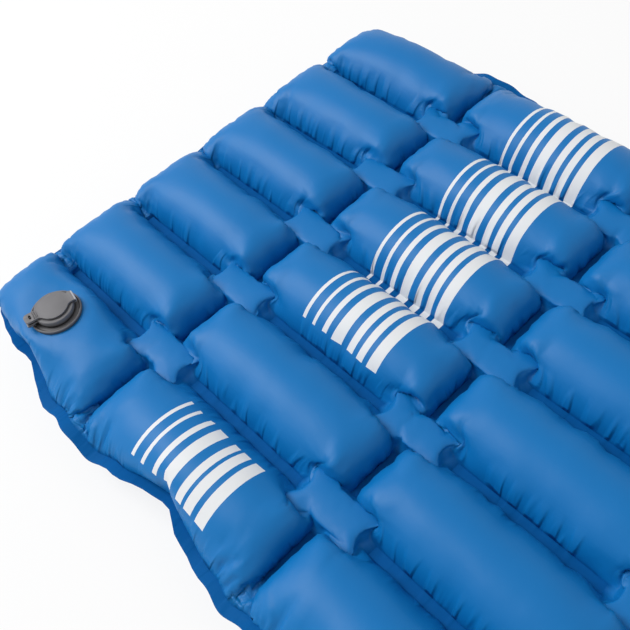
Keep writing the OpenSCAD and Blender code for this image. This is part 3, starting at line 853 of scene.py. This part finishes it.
# ---------------------------------------------------------------------------------------------------
# Floor and light: a pale floor and soft lamps, not part of the object.
# ---------------------------------------------------------------------------------------------------
FLOOR_PALE = (0.90, 0.90, 0.90, 1)
FLOOR_GLOW = 0.80  # share of plain white in the floor as it is seen, which keeps the object's shadow
SKY_LIGHT, SKY_SEEN = 0.49, 1.0


def seen_share(tree):
    """1 for what is seen straight, in a reflection or through the object, and 0 for the light it gives."""
    rays = new_node(tree, "ShaderNodeLightPath").outputs
    seen = rays["Is Camera Ray"]
    for kind in ("Is Glossy Ray", "Is Transmission Ray"):
        seen = new_node(tree, "ShaderNodeMath", {0: seen, 1: rays[kind]}, operation="MAXIMUM").outputs[0]
    return seen


floor_mesh = bpy.data.meshes.new("floor")
work = bmesh.new()
bmesh.ops.create_grid(work, x_segments=1, y_segments=1, size=30.0)
work.to_mesh(floor_mesh)
work.free()
floor = put("floor", floor_mesh)
pale, tree, shader = new_finish("pale_floor")
shader.inputs["Base Color"].default_value = FLOOR_PALE
shader.inputs["Roughness"].default_value = 0.9
shader.inputs["Specular IOR Level"].default_value = 0.1
glow = new_node(tree, "ShaderNodeEmission", {"Color": (1, 1, 1, 1), "Strength": 1.0})
share = new_node(tree, "ShaderNodeMath", {0: seen_share(tree), 1: FLOOR_GLOW}, operation="MULTIPLY")
both = new_node(tree, "ShaderNodeMixShader", {0: share.outputs[0], 1: shader.outputs[0], 2: glow.outputs[0]})
link(tree, both.outputs[0], tree.nodes["Material Output"].inputs["Surface"])
floor_mesh.materials.append(pale)

world = bpy.data.worlds.new("soft_white")
scene.world = world
world.use_nodes = True
tree = world.node_tree
strength = new_node(
    tree, "ShaderNodeMapRange", {"Value": seen_share(tree), "To Min": SKY_LIGHT, "To Max": SKY_SEEN}
)
background = tree.nodes["Background"]
background.inputs["Color"].default_value = (1, 1, 1, 1)
link(tree, strength.outputs["Result"], background.inputs["Strength"])


def lamp(name, at, target, size, power):
    """A square soft box that faces a point."""
    data = bpy.data.lights.new(name, "AREA")
    data.shape, data.size, data.energy = "SQUARE", size, power
    o = bpy.data.objects.new(name, data)
    o.location = at
    o.rotation_euler = (Vector(target) - Vector(at)).to_track_quat("-Z", "Y").to_euler()
    scene.collection.objects.link(o)


lamp("key_box", (-0.9, 2.2, 2.0), (0, 0.6, 0), 1.4, 50)
lamp("fill_box", (1.9, -0.9, 2.2), (0, 0.2, 0), 2.2, 2)

# ---------------------------------------------------------------------------------------------------
# Measures: where things show in the picture, to set beside their image points. A bar's mark is taken where
# its own ray meets the sheet, so it shows just at its image point and is no test of the printed bar. The rim
# is a plain circle, hidden parts too, and the left edge and the stars are taken without the edge's ripple.
# ---------------------------------------------------------------------------------------------------
RIM_R, RIM_TOP = 21.3, 3.0  # the outer edge of the valve's rim, in mm from the middle of its foot
TAB_END = (-24.4, 0, 10.3)


def on_valve(along_axis, side, up):
    """Where a point of the valve, in mm in its own directions, shows in the picture."""
    return seen_at(valve_place @ (Vector((along_axis, side, up)) * MM))


def star_shown(row, column):
    """Where the middle of the cloth over a crossing shows, counted from the head end and the valve's side."""
    k = np.argmin((sheet_u - seams_u[column]) ** 2 + (sheet_v - inner_seams_v[row - 1]) ** 2)
    return seen_at((filled.reshape(-1, 3)[k] + [0, 0, WELD_Z]) * MM)


shown = {name: seen_at(at) for name, (at, _) in marks.items()}
for name in IMAGE_POINTS:
    if name.startswith("star"):
        shown[name] = star_shown(*map(int, name.split("_")[1:]))
turns = np.linspace(0, 2 * math.pi, 180)
rim_shown = [on_valve(RIM_R * math.cos(a), RIM_R * math.sin(a), RIM_TOP) for a in turns]
shown["rim_left"] = min(rim_shown)
shown["rim_right"] = max(rim_shown)
shown["rim_bottom"] = max(rim_shown, key=lambda at: at[1])
shown["tab_end"] = on_valve(*TAB_END)
head_half = half.reshape(-1, 3)[half[..., 1].reshape(-1) > 500]
shown["left_edge"] = min(seen_at(at) for at in (head_half + [0, 0, WELD_Z]) * MM)
